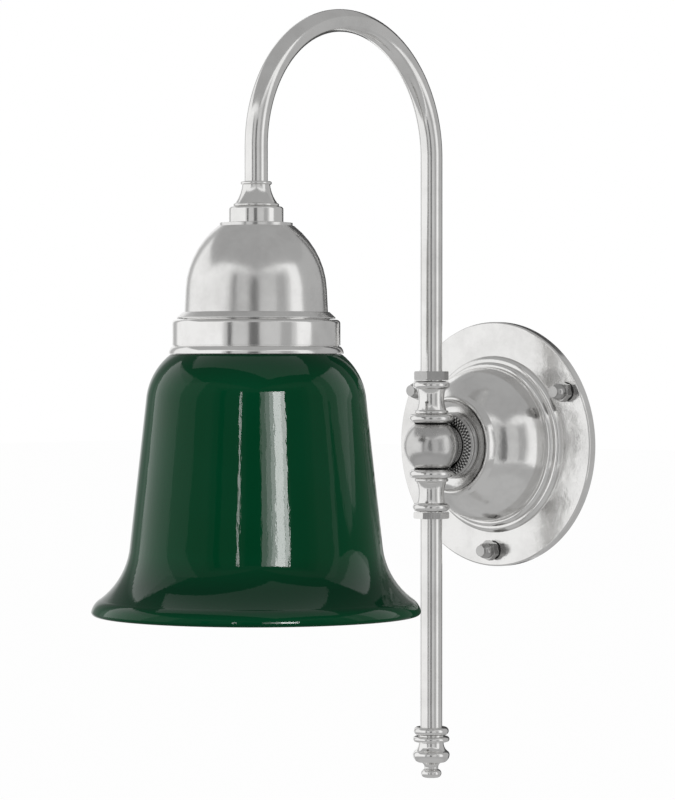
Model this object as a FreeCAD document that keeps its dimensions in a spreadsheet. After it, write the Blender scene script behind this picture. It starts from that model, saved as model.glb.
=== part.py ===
"""A gooseneck wall sconce with a glass bell shade, as separate pieces.

All sizes are millimetres. The origin is on the wall, at the middle of the canopy. +X is to the
right for someone who faces the wall, +Y goes into the wall and +Z is up. Three axes carry the
pieces: the wall axis through the canopy and the ball, the upright stem axis through the ball, and
the upright shade axis at the far end of the gooseneck. A turned piece is drawn as half an outline
beside its axis, by its radius and its height along that axis, and spun a full turn. Heights on the
two upright axes count from the middle of the ball, and heights on the wall axis from the wall.
"""
import FreeCAD, Part
import math
import os

import Sketcher
from FreeCAD import Placement, Rotation, Vector

# The main sizes: how far the lamp stands out, how far and high the neck goes, how long the
# straight tube hangs, and how wide the shade, the canopy and the tube are.
STANDOFF = 58.4
NECK_REACH = 140
SPRING_HEIGHT = 158
STEM_DROP = 154.4
SHADE_DIAMETER = 171
CANOPY_DIAMETER = 137
TUBE_DIAMETER = 12

# The share of a hexagon's width across its flats that its corner lies from its middle.
CORNER_SHARE = 0.5 / math.cos(math.radians(30))

SIZES = {
    "the tube": {
        "tube_diameter": TUBE_DIAMETER, "tube_wall": 1, "neck_reach": NECK_REACH,
        "spring_height": SPRING_HEIGHT, "front_leg": 31.4, "stem_drop": STEM_DROP},
    "fits and gaps": {
        "fit_clearance": 0.05, "running_clearance": 0.05, "seat_gap": 0.2,
        "nipple_diameter": 10, "nipple_bore": 7, "nut_chamfer": 0.5},
    "the canopy": {
        "canopy_diameter": CANOPY_DIAMETER, "canopy_wall": 1.2, "rim_height": 5.2, "rim_rounding": 1,
        "step_diameter": 99, "step_bead": 2.8, "step_ledge": 0.8, "bowl_diameter": 85.6,
        "inner_bead": 1.4, "inner_bead_rise": 2.6, "bowl_bulge": 4.4, "cusp_diameter": 56,
        "cusp_height": 37, "cusp_cove": 0.4, "scoop_lip_diameter": 53,
        "scoop_lip_height": 42.4, "scoop_lip_width": 1, "scoop_depth": 0.8,
        "seat_diameter": 39, "seat_height": 39.4},
    "the canopy's fastening": {
        "stud_inset": 9, "stud_diameter": 6, "stud_tip": 13, "nut_flats": 10,
        "nut_flat_height": 4.4, "nut_neck_height": 1.6, "nut_dome_diameter": 8.8,
        "nut_washer_diameter": 10.6, "nut_washer_height": 0.8, "cap_nut_turn": 12},
    "the wall plate": {
        "plate_thickness": 1.6, "plate_edge_gap": 0.3, "cable_hole_diameter": 34,
        "screw_spacing": 84, "screw_hole_diameter": 5, "screw_slot_length": 12,
        "earth_hole_diameter": 4, "earth_offset": 34, "earth_head_diameter": 8,
        "earth_head_height": 3, "earth_head_rounding": 1},
    "the connector": {
        "block_width": 32, "block_height": 15, "block_depth": 13, "block_drop": 26,
        "pole_spacing": 10, "insert_diameter": 5, "insert_bore": 3.4, "screw_pitch": 7,
        "terminal_screw_diameter": 2.6, "terminal_screw_sink": 0.4},
    "the leads": {"lead_diameter": 4, "lead_gap": 0.3, "lead_bend": 9},
    "the back nipple": {
        "nipple_tail": 3, "nipple_set_back": 5.6, "nipple_washer_diameter": 30,
        "nipple_washer_height": 2, "nipple_nut_flats": 14, "nipple_nut_height": 3},
    "the knurled ring": {
        "ring_diameter": 36.8, "ring_bead_height": 2.8, "ring_upper_bead_diameter": 35.8,
        "ring_upper_bead_height": 2.2, "ring_face_rise": 1.1, "ring_recess_gap": 0.5,
        "ring_lip": 0.5},
    "the ball": {
        "standoff": STANDOFF, "ball_diameter": 30.4, "ball_flat_height": 12.4, "ball_back": 14.8,
        "ball_boss_diameter": 23.4,
        "swivel_washer_diameter": 18.8, "swivel_washer_height": 0.45, "stem_reach": 34,
        "window_height": 7, "window_turn": 220},
    "the collars": {
        "bead_diameter": 24.4, "bead_height": 4.6, "fillet_diameter": 18.8,
        "fillet_height": 2.2, "waist_height": 11.6, "waist_depth": 1.1,
        "end_bead_diameter": 20.4, "end_bead_height": 4.5, "tube_seat": 20},
    "the lock nuts": {
        "lock_nut_flats": 17, "lock_nut_gap": 0.4, "upper_nut_height": 4.8,
        "lower_nut_height": 3.7, "upper_nut_turn": 26.5, "lower_nut_turn": 12},
    "the foot": {
        "cap_diameter": 19.2, "cap_height": 4.4, "cap_plug": 14, "foot_stud_diameter": 5,
        "foot_stud_length": 12, "foot_land_diameter": 14, "foot_land_height": 0.8,
        "pad_diameter": 20, "pad_height": 3, "throat_diameter": 13.6, "throat_height": 1.1,
        "flare_height": 4, "flare_hollow": 0.45, "bulge_diameter": 20.2,
        "bulge_shoulder_diameter": 17.8, "bulge_upper_height": 2.1, "bulge_upper_bow": 0.35,
        "bulge_lower_height": 3.9, "bulge_lower_bow": 0.6, "tail_diameter": 15.2,
        "neck_diameter": 7.6, "neck_cove": 3, "neck_height": 1, "button_diameter": 11.2,
        "button_height": 4.6},
    "the neck cone": {
        "cone_height": 13.1, "cone_ring_diameter": 16.2, "cone_ring_height": 1.8,
        "cone_hollow": 0.7, "cone_bead_diameter": 23.8, "cone_bead_height": 1.7},
    "the coupling": {
        "coupling_diameter": 28.2, "coupling_height": 8.4, "coupling_rounding": 1.4,
        "coupling_foot_rounding": 0.5, "nipple_grip": 12},
    "the dome": {
        "dome_height": 49.5, "dome_wall": 1, "ledge_diameter": 37.8, "ledge_height": 1.6,
        "dome_top_diameter": 39.4, "dome_bulge": 4, "skirt_top_diameter": 73.2,
        "skirt_diameter": 74.4, "skirt_height": 12, "flange_height": 3.3,
        "flange_step": 0.8, "flange_diameter": 82.2, "flange_edge": 0.5},
    "the shade collar": {
        "collar_diameter": 87.2, "collar_wall": 1, "collar_height": 13.8,
        "collar_rounding": 2, "land_diameter": 76, "land_height": 0.7, "groove_depth": 0.6,
        "groove_height": 0.6, "lip_height": 3.7, "lip_diameter": 90.6, "lip_bulge": 0.5},
    "the glass shade": {
        "glass_wall": 4, "glass_hole_diameter": 42, "crown_diameter": 82.6,
        "crown_height": 15.2, "crown_rounding": 3, "shoulder_start_diameter": 88.6,
        "shoulder_diameter": 114.2, "shoulder_height": 24.1, "shoulder_bulge": 2.9,
        "side_diameter": 130.8, "side_height": 74.5, "mouth_diameter": 161,
        "mouth_height": 27.9, "mouth_hollow": 3.4, "rim_diameter": SHADE_DIAMETER,
        "rim_height_drop": 6.7, "rim_bulge": 0.9},
    "the lampholder": {
        "gasket_height": 1.5, "gasket_inner_diameter": 46, "gasket_outer_diameter": 72,
        "sleeve_diameter": 39.6, "sleeve_wall": 1.6, "sleeve_length": 22.7,
        "sleeve_hole_gap": 0.5, "sleeve_shoulder_diameter": 47,
        "sleeve_shoulder_height": 2.4, "sleeve_body_height": 20, "sleeve_body_diameter": 41,
        "holder_cap_height": 11, "holder_cap_bulge": 3, "holder_boss_diameter": 15,
        "holder_boss_height": 8, "insert_gap": 0.3, "insert_height": 14, "shell_wall": 0.5,
        "shell_length": 25, "contact_width": 6, "contact_height": 1.2, "contact_length": 14,
        "side_contact_drop": 7, "holder_screw_diameter": 3, "holder_screw_spacing": 22,
        "holder_screw_sink": 0.5, "dome_nut_height": 3},
    "the shade ring": {
        "shade_ring_diameter": 58, "shade_ring_flange": 2.4, "shade_ring_grip_diameter": 47,
        "shade_ring_height": 9},
    "the bulb": {
        "bulb_diameter": 60, "bulb_length": 110, "bulb_wall": 1, "bulb_cap_diameter": 26.4,
        "bulb_cap_length": 22, "bulb_neck_diameter": 28.4, "bulb_neck_length": 6,
        "bulb_round_height": 17.2, "bulb_taper_hollow": 1.5, "bulb_contact_diameter": 9,
        "bulb_contact_height": 2.2},
}

doc = FreeCAD.newDocument("gooseneck_wall_sconce")
sheet = doc.addObject("Spreadsheet::Sheet", "sizes")


class Length:
    """A size with two faces: its number now, and the formula that keeps it tied to the sheet."""

    def __init__(self, value, formula):
        self.value = value
        self.formula = formula

    def _join(self, sign, other, value):
        return Length(value, f"({self.formula} {sign} {as_length(other).formula})")

    def __add__(self, other):
        return self._join("+", other, self.value + as_length(other).value)

    def __sub__(self, other):
        return self._join("-", other, self.value - as_length(other).value)

    def __mul__(self, other):
        return self._join("*", other, self.value * as_length(other).value)

    def __truediv__(self, other):
        return self._join("/", other, self.value / as_length(other).value)

    def __neg__(self):
        return Length(-self.value, f"(-{self.formula})")

    def root(self):
        """The square root."""
        return Length(math.sqrt(self.value), f"sqrt({self.formula})")


ZERO = Length(0.0, "0")


def as_length(size):
    """A plain number as a Length, and a Length as it is."""
    if isinstance(size, Length):
        return size
    return Length(float(size), repr(float(size))) if size else ZERO


class Sizes:
    """The driving sizes, read by name, as in size.tube_diameter."""


def fill_sheet():
    """Write every driving size into the sheet, one row each, and hand them back by name."""
    sizes = Sizes()
    row = 1
    for piece, entries in SIZES.items():
        sheet.set(f"A{row}", piece)
        for name, number in entries.items():
            row += 1
            sheet.set(f"A{row}", name)
            sheet.set(f"B{row}", str(number))
            sheet.setAlias(f"B{row}", name)
            setattr(sizes, name, Length(float(number), f"sizes.{name}"))
        row += 1
    doc.recompute()
    return sizes


size = fill_sheet()
nodes = []


# ---------------------------------------------------------------- outlines and solids

def line(radius, height):
    """A straight step of an outline, to this radius and height."""
    return as_length(radius), as_length(height), None


def arc(radius, height, curve):
    """A round step of an outline with this radius of its own: minus makes it a hollow."""
    return as_length(radius), as_length(height), ("radius", curve)


def bow(radius, height, rise):
    """A round step that stands this far off the straight line: minus makes it a hollow."""
    return as_length(radius), as_length(height), ("rise", rise)


def bead(outer, low, high):
    """A half round edge between two heights, as two quarter turns."""
    curve = (high - low) / 2
    middle = (high + low) / 2
    return [line(outer - curve, low), arc(outer, middle, curve), arc(outer - curve, high, curve)]


def arc_radius(start, end, curve):
    """The radius of a round step, from its own words."""
    word, amount = curve
    if word == "radius":
        return amount if amount.value > 0 else -amount
    across = end[0] - start[0]
    along = end[1] - start[1]
    chord_squared = across * across + along * along
    rise = amount if amount.value > 0 else -amount
    return chord_squared / (rise * 8) + rise / 2


def arc_geometry(start, end, curve):
    """The drawn arc of a round step, and whether it runs forwards along the outline."""
    radius = arc_radius(start, end, curve).value
    forwards = curve[1].value > 0
    first = Vector(start[0].value, start[1].value, 0)
    last = Vector(end[0].value, end[1].value, 0)
    chord = last - first
    half = chord.Length / 2
    stand_off = math.sqrt(max(radius * radius - half * half, 0))
    side = Vector(-chord.y, chord.x, 0).normalize() * (stand_off if forwards else -stand_off)
    centre = (first + last) * 0.5 + side
    if not forwards:
        first, last = last, first
    from_angle = math.atan2(first.y - centre.y, first.x - centre.x)
    to_angle = math.atan2(last.y - centre.y, last.x - centre.x)
    if to_angle < from_angle:
        to_angle += 2 * math.pi
    circle = Part.Circle(centre, Vector(0, 0, 1), radius)
    return Part.ArcOfCircle(circle, from_angle, to_angle), forwards


def bind(sketch, constraint, length):
    """Add one dimension to a sketch and tie it to the sheet."""
    index = sketch.addConstraint(constraint)
    sketch.setExpression(f"Constraints[{index}]", length.formula)


def pin_point(sketch, edge, end, point):
    """Hold one end of an edge at its radius and height."""
    vertical_axis, horizontal_axis = -2, -1
    across, along = point[0], point[1]
    if across is ZERO:
        sketch.addConstraint(Sketcher.Constraint("PointOnObject", edge, end, vertical_axis))
    else:
        bind(sketch, Sketcher.Constraint("DistanceX", edge, end, across.value), across)
    if along is ZERO:
        sketch.addConstraint(Sketcher.Constraint("PointOnObject", edge, end, horizontal_axis))
    else:
        bind(sketch, Sketcher.Constraint("DistanceY", edge, end, along.value), along)


def draw(sketch, outline, closed=True):
    """Draw an outline in a sketch, with its corners and curves all tied to the sheet.

    Each step runs from the corner before it. A curve on the first corner closes the outline.
    """
    start_end, far_end = 1, 2
    steps = list(outline)
    if closed:
        steps.append(outline[0])
    edges = []
    for start, end in zip(steps, steps[1:]):
        forwards = True
        if end[2] is None:
            first = Vector(start[0].value, start[1].value, 0)
            last = Vector(end[0].value, end[1].value, 0)
            shape = Part.LineSegment(first, last)
        else:
            shape, forwards = arc_geometry(start, end, end[2])
        edge = sketch.addGeometry(shape)
        ends = (start_end, far_end) if forwards else (far_end, start_end)
        edges.append((edge, ends, start, end))
    for this_edge, next_edge in zip(edges, edges[1:] + edges[:1]):
        if closed or next_edge is not edges[0]:
            sketch.addConstraint(Sketcher.Constraint(
                "Coincident", this_edge[0], this_edge[1][1], next_edge[0], next_edge[1][0]))
    for edge, ends, start, end in edges:
        pin_point(sketch, edge, ends[0], start)
    if not closed:
        edge, ends, start, end = edges[-1]
        pin_point(sketch, edge, ends[1], end)
    for edge, ends, start, end in edges:
        if end[2] is not None:
            radius = arc_radius(start, end, end[2])
            bind(sketch, Sketcher.Constraint("Radius", edge, radius.value), radius)


def new_sketch(body, name, plane, lift=None):
    """A sketch on one of its body's own planes, lifted off it where a height is given."""
    sketch = body.newObject("Sketcher::SketchObject", name)
    support = [each for each in body.Origin.OriginFeatures if each.Role == plane][0]
    sketch.AttachmentSupport = [(support, "")]
    sketch.MapMode = "FlatFace"
    if lift is not None:
        sketch.setExpression(".AttachmentOffset.Base.z", lift.formula)
    return sketch


def new_body(name):
    """An empty body."""
    return doc.addObject("PartDesign::Body", name)


def turned(name, outline):
    """A body spun from half an outline that runs out, up, in and down again."""
    body = new_body(name)
    sketch = new_sketch(body, f"{name}_outline", "XZ_Plane")
    draw(sketch, outline)
    spin = body.newObject("PartDesign::Revolution", f"{name}_spin")
    spin.Profile = sketch
    spin.ReferenceAxis = (sketch, ["V_Axis"])
    spin.Angle = 360
    return body


def drawn_circle(sketch, radius):
    """A circle round the sketch's own middle."""
    circle = sketch.addGeometry(Part.Circle(Vector(0, 0, 0), Vector(0, 0, 1), radius.value))
    sketch.addConstraint(Sketcher.Constraint("Coincident", circle, 3, -1, 1))
    bind(sketch, Sketcher.Constraint("Radius", circle, radius.value), radius)


def bent(name, route, low, outer_radius, bore_radius=None):
    """A body swept along a route in the YZ plane that starts upwards at this height."""
    body = new_body(name)
    section = new_sketch(body, f"{name}_section", "XY_Plane", low)
    drawn_circle(section, outer_radius)
    if bore_radius is not None:
        drawn_circle(section, bore_radius)
    path = new_sketch(body, f"{name}_route", "YZ_Plane")
    draw(path, route, closed=False)
    sweep = body.newObject("PartDesign::AdditivePipe", f"{name}_sweep")
    sweep.Profile = section
    sweep.Spine = path
    return body


def cylinder(name, radius, low, high):
    """A plain round bar or hole on the Z axis."""
    bar = doc.addObject("Part::Cylinder", name)
    bar.setExpression("Radius", radius.formula)
    bar.setExpression("Height", (high - low).formula)
    bar.setExpression(".Placement.Base.z", low.formula)
    return bar


def box(name, low, high):
    """A plain block between two corners, each given as three sizes."""
    block = doc.addObject("Part::Box", name)
    for side, letter, start, end in zip(("Length", "Width", "Height"), "xyz", low, high):
        block.setExpression(side, (end - start).formula)
        block.setExpression(f".Placement.Base.{letter}", start.formula)
    return block


def prism(name, across_flats, low, high, turn=None):
    """A hexagonal bar on the Z axis: its corner lies at this many degrees."""
    bar = doc.addObject("Part::Prism", name)
    bar.Polygon = 6
    bar.setExpression("Circumradius", (across_flats * CORNER_SHARE).formula)
    bar.setExpression("Height", (high - low).formula)
    bar.setExpression(".Placement.Base.z", low.formula)
    if turn is not None:
        bar.Placement.Rotation = Rotation(Vector(0, 0, 1), turn.value)
        bar.setExpression(".Placement.Rotation.Angle", f"{turn.formula} * 1 deg")
    return bar


def cut(name, base, tools):
    """A solid with holes."""
    tool = tools[0]
    if len(tools) > 1:
        tool = doc.addObject("Part::MultiFuse", f"{name}_tools")
        tool.Shapes = tools
    result = doc.addObject("Part::Cut", name)
    result.Base = base
    result.Tool = tool
    return result


def common(name, base, tool):
    """What two solids share."""
    result = doc.addObject("Part::Common", name)
    result.Base = base
    result.Tool = tool
    return result


def fuse(name, pieces):
    """One solid made of several that meet."""
    result = doc.addObject("Part::MultiFuse", name)
    result.Shapes = pieces
    return result


def group(name, pieces):
    """Several separate solids that share a node."""
    result = doc.addObject("Part::Compound", name)
    result.Links = pieces
    return result


def move(piece, x=None, y=None, z=None):
    """Tie the place of a piece to the sheet, along the axes given."""
    for letter, distance in (("x", x), ("y", y), ("z", z)):
        if distance is not None:
            piece.setExpression(f".Placement.Base.{letter}", distance.formula)
    return piece


def backwards(piece):
    """Lay an upright bar or hole down, so that it runs towards the wall."""
    piece.Placement.Rotation = Rotation(Vector(1, 0, 0), -90)
    return piece


def on_circle(piece, radius, degrees):
    """Put a piece at an angle on a circle round the Z axis."""
    angle = math.radians(degrees)
    return move(piece, x=radius * math.cos(angle), y=radius * math.sin(angle))


# ---------------------------------------------------------------- the three axes

def on_wall_axis(node, piece):
    """Keep a piece whose Z points out of the wall, from the wall."""
    piece.Placement = Placement(Vector(0, 0, 0), Rotation(Vector(1, 0, 0), 90))
    return keep(node, piece)


def on_stem_axis(node, piece):
    """Keep a piece on the upright axis of the ball."""
    return keep(node, move(piece, y=-size.standoff))


def on_shade_axis(node, piece):
    """Keep a piece on the upright axis of the shade."""
    return keep(node, move(piece, y=-size.standoff - size.neck_reach))


def keep(node, piece):
    """Give a finished piece its own name, and list it."""
    piece.Label = node
    nodes.append(piece)
    return piece


# ---------------------------------------------------------------- shared radii and heights

tube_radius = size.tube_diameter / 2
tube_bore_radius = tube_radius - size.tube_wall
socket_radius = tube_radius + size.fit_clearance
stem_radius = tube_bore_radius - size.fit_clearance
stem_fit_radius = stem_radius + size.fit_clearance
nipple_radius = size.nipple_diameter / 2
nipple_fit_radius = nipple_radius + size.fit_clearance
nipple_bore_radius = size.nipple_bore / 2
lead_radius = size.lead_diameter / 2
stud_radius = size.stud_diameter / 2
stud_fit_radius = stud_radius + size.fit_clearance
stud_circle_radius = size.canopy_diameter / 2 - size.stud_inset

# heights on the stem axis
collar_base = size.ball_flat_height + size.swivel_washer_height + size.running_clearance
collar_top = collar_base + size.bead_height + size.fillet_height + size.waist_height \
    + size.end_bead_height
tube_foot = -size.stem_drop
cap_foot = tube_foot - size.cap_height

# heights on the shade axis
tube_end = size.spring_height - size.front_leg
dome_top = tube_end - size.coupling_height
dome_foot = dome_top - size.dome_height
collar_ceiling = dome_foot - size.land_height - size.collar_wall
collar_foot = dome_foot - size.land_height - size.collar_height - size.lip_height
glass_top = collar_ceiling - size.gasket_height
glass_ceiling = glass_top - size.glass_wall
shoulder_top = glass_top - size.crown_height
sleeve_foot = dome_foot - size.sleeve_length
shoulder_of_sleeve = dome_foot + size.sleeve_shoulder_height
sleeve_top = shoulder_of_sleeve + size.sleeve_body_height
holder_top = sleeve_top + size.holder_cap_height + size.holder_boss_height
insert_foot = sleeve_top - size.insert_height
bulb_top = insert_foot - size.contact_height - size.seat_gap
bulb_cap_top = bulb_top - size.bulb_contact_height
bulb_cap_foot = bulb_cap_top - size.bulb_cap_length


def ring_of(inner, outer, low, high):
    """The outline of a plain ring."""
    return [line(inner, low), line(outer, low), line(outer, high), line(inner, high)]


def hexagon_nut(name, across_flats, bore, low, high, turn=None):
    """A hexagonal nut with chamfered corners."""
    corner = across_flats * CORNER_SHARE
    chamfer = size.nut_chamfer
    blank = turned(f"{name}_blank", [
        line(bore, low), line(corner - chamfer, low), line(corner, low + chamfer),
        line(corner, high - chamfer), line(corner - chamfer, high), line(bore, high)])
    return common(f"{name}_cut", blank, prism(f"{name}_hexagon", across_flats, low, high, turn))


# ---------------------------------------------------------------- on the wall

STUD_ANGLES = (-90, 30, 150)
SIDES = (-1, 1)


def canopy():
    """The spun cover: its outer skin going in to the middle, then its inner skin back out."""
    wall = size.canopy_wall
    rim = size.canopy_diameter / 2
    step = size.step_diameter / 2
    ledge = step - size.step_bead
    bead_start = ledge - size.step_ledge
    bowl = size.bowl_diameter / 2
    cusp = size.cusp_diameter / 2
    lip = size.scoop_lip_diameter / 2
    lip_inner = lip - size.scoop_lip_width
    seat = size.seat_diameter / 2
    ledge_height = size.rim_height + size.step_bead
    bowl_foot = ledge_height + size.inner_bead_rise
    seat_under = size.seat_height - wall
    cover = turned("canopy_cover", [
        line(rim - wall, 0), line(rim, 0), line(rim, size.rim_height - size.rim_rounding),
        arc(rim - size.rim_rounding, size.rim_height, size.rim_rounding),
        line(step, size.rim_height), arc(ledge, ledge_height, size.step_bead),
        line(bead_start, ledge_height), bow(bowl, bowl_foot, size.inner_bead),
        bow(cusp, size.cusp_height, size.bowl_bulge),
        bow(lip, size.scoop_lip_height, -size.cusp_cove), line(lip_inner, size.scoop_lip_height),
        bow(seat, size.seat_height, -size.scoop_depth), line(nipple_fit_radius, size.seat_height),
        line(nipple_fit_radius, seat_under), line(lip_inner, seat_under),
        line(cusp - wall, size.cusp_height - wall),
        bow(bowl - wall, bowl_foot - wall, -size.bowl_bulge),
        line(bead_start, ledge_height - wall), line(ledge, ledge_height - wall),
        line(ledge, size.rim_height - wall),
        line(rim - wall, size.rim_height - wall)])
    holes = []
    for number, degrees in enumerate(STUD_ANGLES):
        hole = cylinder(f"canopy_hole_{number}", stud_fit_radius, ZERO, size.stud_tip)
        holes.append(on_circle(hole, stud_circle_radius, degrees))
    on_wall_axis("canopy", cut("canopy_drilled", cover, holes))


def canopy_fasteners():
    """The studs of the wall plate, and a washer and a domed nut on each."""
    studs, washers, nuts = [], [], []
    dome = size.nut_dome_diameter / 2
    corner = size.nut_flats * CORNER_SHARE
    chamfer = size.nut_chamfer
    washer_radius = size.nut_washer_diameter / 2
    nut_base = size.rim_height + size.nut_washer_height
    hexagon_top = nut_base + size.nut_flat_height
    dome_base = hexagon_top + size.nut_neck_height
    bore_top = size.stud_tip + size.seat_gap
    for number, degrees in enumerate(STUD_ANGLES):
        stud = cylinder(f"stud_{number}", stud_radius, ZERO, size.stud_tip)
        washer = turned(f"nut_washer_{number}",
                        ring_of(stud_fit_radius, washer_radius, size.rim_height, nut_base))
        blank = turned(f"cap_nut_blank_{number}", [
            line(stud_fit_radius, nut_base), line(corner - chamfer, nut_base),
            line(corner, nut_base + chamfer), line(corner, hexagon_top - chamfer),
            line(corner - chamfer, hexagon_top), line(dome, hexagon_top),
            line(dome, dome_base), arc(0, dome_base + dome, dome),
            line(0, bore_top), line(stud_fit_radius, bore_top)])
        hexagon = prism(f"cap_nut_hexagon_{number}", size.nut_flats, nut_base,
                        dome_base + dome, size.cap_nut_turn)
        nut = common(f"cap_nut_{number}", blank, hexagon)
        for piece, pile in ((stud, studs), (washer, washers), (nut, nuts)):
            pile.append(on_circle(piece, stud_circle_radius, degrees))
    on_wall_axis("plate_studs", group("stud_group", studs))
    on_wall_axis("canopy_nut_washers", group("nut_washer_group", washers))
    on_wall_axis("canopy_cap_nuts", group("cap_nut_group", nuts))


def wall_plate():
    """The plate behind the canopy: a cable hole, two slots for wall screws, the stud holes."""
    high = size.plate_thickness
    edge = size.canopy_diameter / 2 - size.canopy_wall - size.plate_edge_gap
    disc = turned("plate_disc", ring_of(size.cable_hole_diameter / 2, edge, 0, high))
    holes = []
    for number, degrees in enumerate(STUD_ANGLES):
        stud_hole = cylinder(f"plate_stud_hole_{number}", stud_fit_radius, ZERO, high)
        holes.append(on_circle(stud_hole, stud_circle_radius, degrees))
    slot_radius = size.screw_hole_diameter / 2
    half_run = size.screw_slot_length / 2 - slot_radius
    for number, side in enumerate(SIDES):
        middle = size.screw_spacing / 2 * side
        holes.append(box(f"screw_slot_{number}", (middle - half_run, -slot_radius, ZERO),
                         (middle + half_run, slot_radius, high)))
        for end, way in enumerate(SIDES):
            round_end = cylinder(f"slot_end_{number}_{end}", slot_radius, ZERO, high)
            holes.append(move(round_end, x=middle + half_run * way))
    earth_hole = cylinder("earth_hole", size.earth_hole_diameter / 2, ZERO, high)
    holes.append(move(earth_hole, y=size.earth_offset))
    on_wall_axis("wall_plate", cut("plate_drilled", disc, holes))


def earth_screw():
    """The earth terminal: a round headed screw in the plate, above its middle."""
    high = size.plate_thickness
    shank = size.earth_hole_diameter / 2 - size.fit_clearance
    head = size.earth_head_diameter / 2
    head_top = high + size.earth_head_height
    rounding = size.earth_head_rounding
    screw = turned("earth_screw_turned", [
        line(0, 0), line(shank, 0), line(shank, high), line(head, high),
        line(head, head_top - rounding), arc(head - rounding, head_top, rounding),
        line(0, head_top)])
    screw = on_wall_axis("earth_screw", screw)
    move(screw, z=size.earth_offset)


def connector():
    """The three pole connector on the plate: a block, its metal barrels and their screws."""
    low = size.plate_thickness
    high = low + size.block_depth
    middle = (low + high) / 2
    half_width = size.block_width / 2
    top = -size.block_drop + size.block_height / 2
    foot = top - size.block_height
    block = box("block_body", (-half_width, foot, low), (half_width, top, high))
    barrel_radius = size.insert_diameter / 2
    screw_radius = size.terminal_screw_diameter / 2
    screw_foot = middle + barrel_radius + size.fit_clearance
    holes, barrels, screws = [], [], []
    for pole in (-1, 0, 1):
        across = size.pole_spacing * pole
        for radius, pile, word in ((barrel_radius + size.fit_clearance, holes, "barrel_hole"),
                                   (barrel_radius, barrels, "barrel")):
            bar = backwards(cylinder(f"{word}_{pole + 1}", radius, ZERO, size.block_height))
            pile.append(move(bar, x=across, y=foot, z=middle))
        bore = cylinder(f"barrel_bore_{pole + 1}", size.insert_bore / 2, ZERO, size.block_height)
        move(backwards(bore), x=across, y=foot, z=middle)
        barrels[-1] = cut(f"barrel_bored_{pole + 1}", barrels[-1], [bore])
        for side in SIDES:
            along = size.screw_pitch / 2 * side - size.block_drop
            place = f"{pole + 1}_{side + 1}"
            hole = cylinder(f"screw_hole_{place}", screw_radius + size.fit_clearance, middle, high)
            holes.append(move(hole, x=across, y=along))
            screw = cylinder(f"screw_{place}", screw_radius, screw_foot,
                             high - size.terminal_screw_sink)
            screws.append(move(screw, x=across, y=along))
    on_wall_axis("terminal_block", cut("block_bored", block, holes))
    on_wall_axis("terminal_inserts", group("barrel_group", barrels))
    on_wall_axis("terminal_screws", group("terminal_screw_group", screws))


def back_nipple():
    """The hollow thread that carries the ball, and the washer and nut inside the canopy."""
    washer_top = size.seat_height - size.canopy_wall
    washer_foot = washer_top - size.nipple_washer_height
    nut_foot = washer_foot - size.nipple_nut_height
    nipple = turned("back_nipple_turned", ring_of(
        nipple_bore_radius, nipple_radius, nut_foot - size.nipple_tail,
        size.standoff - size.nipple_set_back))
    washer = turned("nipple_washer_turned", ring_of(
        nipple_fit_radius, size.nipple_washer_diameter / 2, washer_foot, washer_top))
    nut = hexagon_nut("nipple_nut", size.nipple_nut_flats, nipple_fit_radius, nut_foot,
                      washer_foot)
    on_wall_axis("back_nipple", nipple)
    on_wall_axis("nipple_washer", washer)
    on_wall_axis("nipple_nut", nut)


def knurled_ring():
    """The ring behind the ball: two beads, a low conical face, a recess for the ball's boss."""
    back = size.seat_height + size.seat_gap
    bead_top = back + size.ring_bead_height
    face_foot = bead_top + size.ring_upper_bead_height
    face_top = face_foot + size.ring_face_rise
    floor = size.standoff - size.ball_back - size.seat_gap
    recess = size.ball_boss_diameter / 2 + size.ring_recess_gap
    bore = nipple_radius + size.running_clearance
    ring = turned("knurled_ring_turned", [
        line(bore, back), *bead(size.ring_diameter / 2, back, bead_top),
        *bead(size.ring_upper_bead_diameter / 2, bead_top, face_foot),
        line(recess + size.ring_lip, face_top), line(recess, face_top),
        line(recess, floor), line(bore, floor)])
    on_wall_axis("knurled_ring", ring)


# ---------------------------------------------------------------- the ball and the upright stem

def swivel_ball():
    """The ball: flats above and below, a boss behind, bored upright and from behind."""
    radius = size.ball_diameter / 2
    flat = size.ball_flat_height
    flat_radius = (radius * radius - flat * flat).root()
    bore = stem_radius + size.running_clearance
    ball = turned("ball_turned", [
        line(bore, -flat), line(flat_radius, -flat), arc(flat_radius, flat, radius),
        line(bore, flat)])
    boss = backwards(cylinder("ball_boss", size.ball_boss_diameter / 2, ZERO, size.ball_back))
    back_bore = cylinder("ball_back_bore", nipple_radius + size.running_clearance, ZERO, radius)
    stem_bore = cylinder("ball_stem_bore", bore, -radius, radius)
    holes = [backwards(back_bore), stem_bore]
    on_stem_axis("swivel_ball", cut("ball_bored", fuse("ball_solid", [ball, boss]), holes))
    washers = []
    for number, side in enumerate(SIDES):
        low = size.ball_flat_height * side
        high = low + size.swivel_washer_height * side
        low, high = (low, high) if side > 0 else (high, low)
        washers.append(turned(f"swivel_washer_{number}", ring_of(
            bore, size.swivel_washer_diameter / 2, low, high)))
    on_stem_axis("swivel_washers", group("swivel_washer_group", washers))


def swivel_stem():
    """The hollow stem through the ball, with the window that the lead comes in by."""
    reach = size.stem_reach
    stem = turned("stem_turned", ring_of(nipple_bore_radius, stem_radius, -reach, reach))
    half_window = size.window_height / 2
    window = cylinder("stem_window", tube_radius, -half_window, half_window)
    window.setExpression("Angle", size.window_turn.formula)
    towards_wall = 90
    start = -size.window_turn / 2 + towards_wall
    window.setExpression(".Placement.Rotation.Angle", f"{start.formula} * 1 deg")
    on_stem_axis("swivel_stem", cut("stem_windowed", stem, [window]))


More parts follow.
